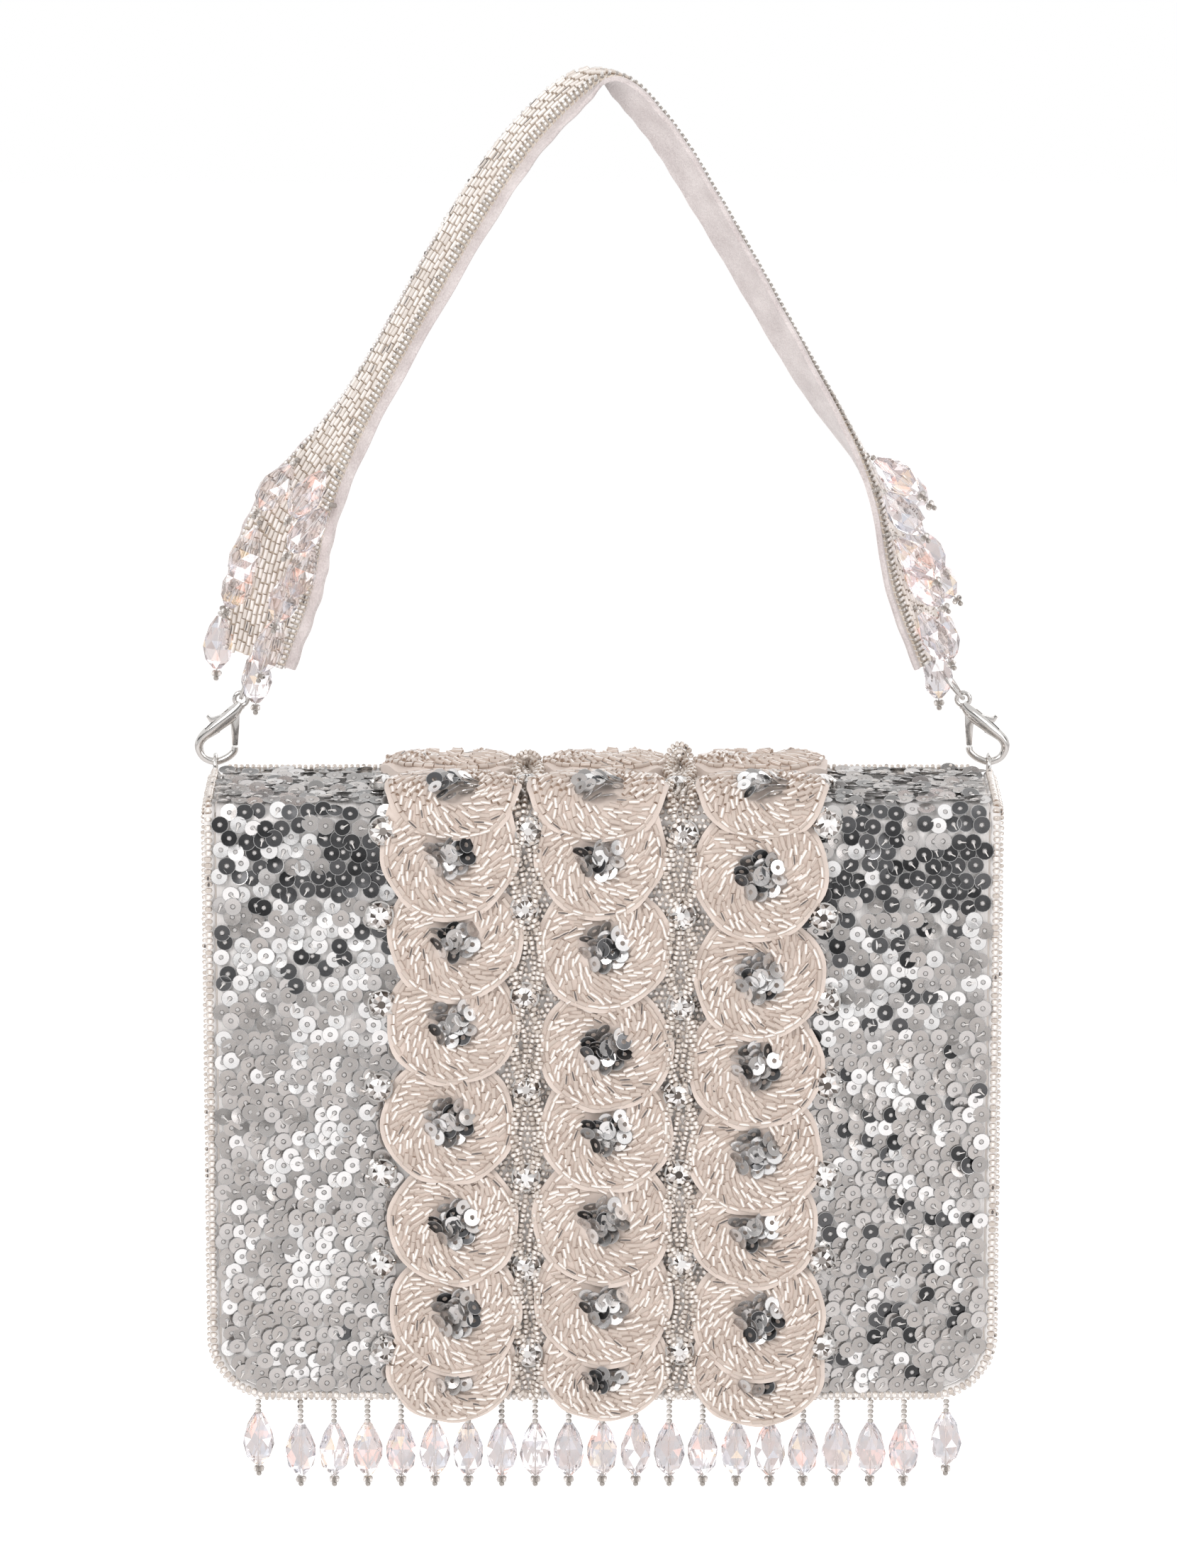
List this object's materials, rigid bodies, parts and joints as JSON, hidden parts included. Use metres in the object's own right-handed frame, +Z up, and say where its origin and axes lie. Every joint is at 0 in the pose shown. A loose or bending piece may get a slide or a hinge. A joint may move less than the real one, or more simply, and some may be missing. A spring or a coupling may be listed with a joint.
{
  "type": "evening bag",
  "caption": "Stiffened evening bag with a flap worked in beaded rosettes, sequins and a fringe of crystal drops, hanging from a beaded strap by lobster clasps.",
  "frame": {"origin": "the underside of the strap at its apex, where a hook or a hand carries the bag", "axes": "+Z up, +X to the right seen from the front, the flap's front faces -Y; the strap hangs in the plane Y = 0"},
  "size_m": [0.239, 0.0745, 0.4106],
  "materials": {
    "beadwork": "padded cloth covered with silver-lined bugle and seed beads",
    "white_velvet": "white velvet",
    "nickel": "polished nickel plate",
    "ivory_satin": "satin over stiff board",
    "lining_cloth": "plain lining cloth",
    "silver_sequins": "overlapping silver sequins sewn on net",
    "seed_beads": "clear silver-lined seed beads",
    "crystal": "faceted glass with a faint iridescent coat"
  },
  "bodies": {
    "strap": {"strap_band": "beadwork", "strap_backing": "white_velvet", "left_strap_ring": "nickel", "right_strap_ring": "nickel", "left_clasp_body": "nickel", "right_clasp_body": "nickel", "left_clasp_pin": "nickel", "right_clasp_pin": "nickel"},
    "left_lever": {"left_clasp_lever": "nickel"},
    "right_lever": {"right_clasp_lever": "nickel"},
    "bag": {"back_panel": "ivory_satin", "front_panel": "ivory_satin", "left_gusset": "ivory_satin", "right_gusset": "ivory_satin", "base_panel": "ivory_satin", "lining": "lining_cloth", "snap_socket": "nickel", "left_bag_ring": "nickel", "right_bag_ring": "nickel", "left_ring_loop": "ivory_satin", "right_ring_loop": "ivory_satin"},
    "flap": {"flap_panel": "ivory_satin", "flap_lining": "lining_cloth", "flap_beaded_edge": "seed_beads", "snap_stud": "nickel", "left_sequin_field": "silver_sequins", "right_sequin_field": "silver_sequins", "left_rosettes": "beadwork", "middle_rosettes": "beadwork", "right_rosettes": "beadwork", "left_bead_rope": "seed_beads", "right_bead_rope": "seed_beads"},
    "fringe_drop_01": {"fringe_drop_01": "crystal"},
    "fringe_drop_02": {"fringe_drop_02": "crystal"},
    "fringe_drop_03": {"fringe_drop_03": "crystal"},
    "fringe_drop_04": {"fringe_drop_04": "crystal"},
    "fringe_drop_05": {"fringe_drop_05": "crystal"},
    "fringe_drop_06": {"fringe_drop_06": "crystal"},
    "fringe_drop_07": {"fringe_drop_07": "crystal"},
    "fringe_drop_08": {"fringe_drop_08": "crystal"},
    "fringe_drop_09": {"fringe_drop_09": "crystal"},
    "fringe_drop_10": {"fringe_drop_10": "crystal"},
    "fringe_drop_11": {"fringe_drop_11": "crystal"},
    "fringe_drop_12": {"fringe_drop_12": "crystal"},
    "fringe_drop_13": {"fringe_drop_13": "crystal"},
    "fringe_drop_14": {"fringe_drop_14": "crystal"},
    "fringe_drop_15": {"fringe_drop_15": "crystal"},
    "fringe_drop_16": {"fringe_drop_16": "crystal"},
    "fringe_drop_17": {"fringe_drop_17": "crystal"},
    "fringe_drop_18": {"fringe_drop_18": "crystal"},
    "fringe_drop_19": {"fringe_drop_19": "crystal"},
    "fringe_drop_20": {"fringe_drop_20": "crystal"},
    "fringe_drop_21": {"fringe_drop_21": "crystal"}
  },
  "joints": [
    {"name": "left_lever_hinge", "type": "hinge", "parent": "strap", "child": "left_lever", "pos_m": [-0.1076, 0, -0.1861], "axis": [0, 1, 0], "range_deg": [0, 25], "stiffness_Nm_per_rad": 0.02, "springref_deg": -11.46},
    {"name": "right_lever_hinge", "type": "hinge", "parent": "strap", "child": "right_lever", "pos_m": [0.1076, 0, -0.1861], "axis": [0, -1, 0], "range_deg": [0, 25], "stiffness_Nm_per_rad": 0.02, "springref_deg": -11.46},
    {"name": "bag_swing", "type": "hinge", "parent": "strap", "child": "bag", "pos_m": [0, 0, -0.2], "axis": [1, 0, 0], "range_deg": [-40, 75]},
    {"name": "flap_hinge", "type": "hinge", "parent": "bag", "child": "flap", "pos_m": [0, -0.0056, -0.2023], "axis": [-1, 0, 0], "range_deg": [0, 60]},
    {"name": "fringe_drop_01_swing", "type": "hinge", "parent": "flap", "child": "fringe_drop_01", "pos_m": [-0.1005, -0.0524, -0.37716], "axis": [1, 0, 0], "range_deg": [-10, 40]},
    {"name": "fringe_drop_02_swing", "type": "hinge", "parent": "flap", "child": "fringe_drop_02", "pos_m": [-0.0882, -0.0524, -0.3772], "axis": [1, 0, 0], "range_deg": [-10, 40]},
    {"name": "fringe_drop_03_swing", "type": "hinge", "parent": "flap", "child": "fringe_drop_03", "pos_m": [-0.0784, -0.0524, -0.3772], "axis": [1, 0, 0], "range_deg": [-10, 40]},
    {"name": "fringe_drop_04_swing", "type": "hinge", "parent": "flap", "child": "fringe_drop_04", "pos_m": [-0.0686, -0.0524, -0.3772], "axis": [1, 0, 0], "range_deg": [-10, 40]},
    {"name": "fringe_drop_05_swing", "type": "hinge", "parent": "flap", "child": "fringe_drop_05", "pos_m": [-0.0588, -0.0524, -0.3772], "axis": [1, 0, 0], "range_deg": [-10, 40]},
    {"name": "fringe_drop_06_swing", "type": "hinge", "parent": "flap", "child": "fringe_drop_06", "pos_m": [-0.049, -0.0524, -0.3772], "axis": [1, 0, 0], "range_deg": [-10, 40]},
    {"name": "fringe_drop_07_swing", "type": "hinge", "parent": "flap", "child": "fringe_drop_07", "pos_m": [-0.0392, -0.0524, -0.3772], "axis": [1, 0, 0], "range_deg": [-10, 40]},
    {"name": "fringe_drop_08_swing", "type": "hinge", "parent": "flap", "child": "fringe_drop_08", "pos_m": [-0.0294, -0.0524, -0.3772], "axis": [1, 0, 0], "range_deg": [-10, 40]},
    {"name": "fringe_drop_09_swing", "type": "hinge", "parent": "flap", "child": "fringe_drop_09", "pos_m": [-0.0196, -0.0524, -0.3772], "axis": [1, 0, 0], "range_deg": [-10, 40]},
    {"name": "fringe_drop_10_swing", "type": "hinge", "parent": "flap", "child": "fringe_drop_10", "pos_m": [-0.0098, -0.0524, -0.3772], "axis": [1, 0, 0], "range_deg": [-10, 40]},
    {"name": "fringe_drop_11_swing", "type": "hinge", "parent": "flap", "child": "fringe_drop_11", "pos_m": [0, -0.0524, -0.3772], "axis": [1, 0, 0], "range_deg": [-10, 40]},
    {"name": "fringe_drop_12_swing", "type": "hinge", "parent": "flap", "child": "fringe_drop_12", "pos_m": [0.0098, -0.0524, -0.3772], "axis": [1, 0, 0], "range_deg": [-10, 40]},
    {"name": "fringe_drop_13_swing", "type": "hinge", "parent": "flap", "child": "fringe_drop_13", "pos_m": [0.0196, -0.0524, -0.3772], "axis": [1, 0, 0], "range_deg": [-10, 40]},
    {"name": "fringe_drop_14_swing", "type": "hinge", "parent": "flap", "child": "fringe_drop_14", "pos_m": [0.0294, -0.0524, -0.3772], "axis": [1, 0, 0], "range_deg": [-10, 40]},
    {"name": "fringe_drop_15_swing", "type": "hinge", "parent": "flap", "child": "fringe_drop_15", "pos_m": [0.0392, -0.0524, -0.3772], "axis": [1, 0, 0], "range_deg": [-10, 40]},
    {"name": "fringe_drop_16_swing", "type": "hinge", "parent": "flap", "child": "fringe_drop_16", "pos_m": [0.049, -0.0524, -0.3772], "axis": [1, 0, 0], "range_deg": [-10, 40]},
    {"name": "fringe_drop_17_swing", "type": "hinge", "parent": "flap", "child": "fringe_drop_17", "pos_m": [0.0588, -0.0524, -0.3772], "axis": [1, 0, 0], "range_deg": [-10, 40]},
    {"name": "fringe_drop_18_swing", "type": "hinge", "parent": "flap", "child": "fringe_drop_18", "pos_m": [0.0686, -0.0524, -0.3772], "axis": [1, 0, 0], "range_deg": [-10, 40]},
    {"name": "fringe_drop_19_swing", "type": "hinge", "parent": "flap", "child": "fringe_drop_19", "pos_m": [0.0784, -0.0524, -0.3772], "axis": [1, 0, 0], "range_deg": [-10, 40]},
    {"name": "fringe_drop_20_swing", "type": "hinge", "parent": "flap", "child": "fringe_drop_20", "pos_m": [0.0882, -0.0524, -0.3772], "axis": [1, 0, 0], "range_deg": [-10, 40]},
    {"name": "fringe_drop_21_swing", "type": "hinge", "parent": "flap", "child": "fringe_drop_21", "pos_m": [0.1005, -0.0524, -0.37716], "axis": [1, 0, 0], "range_deg": [-10, 40]}
  ]
}
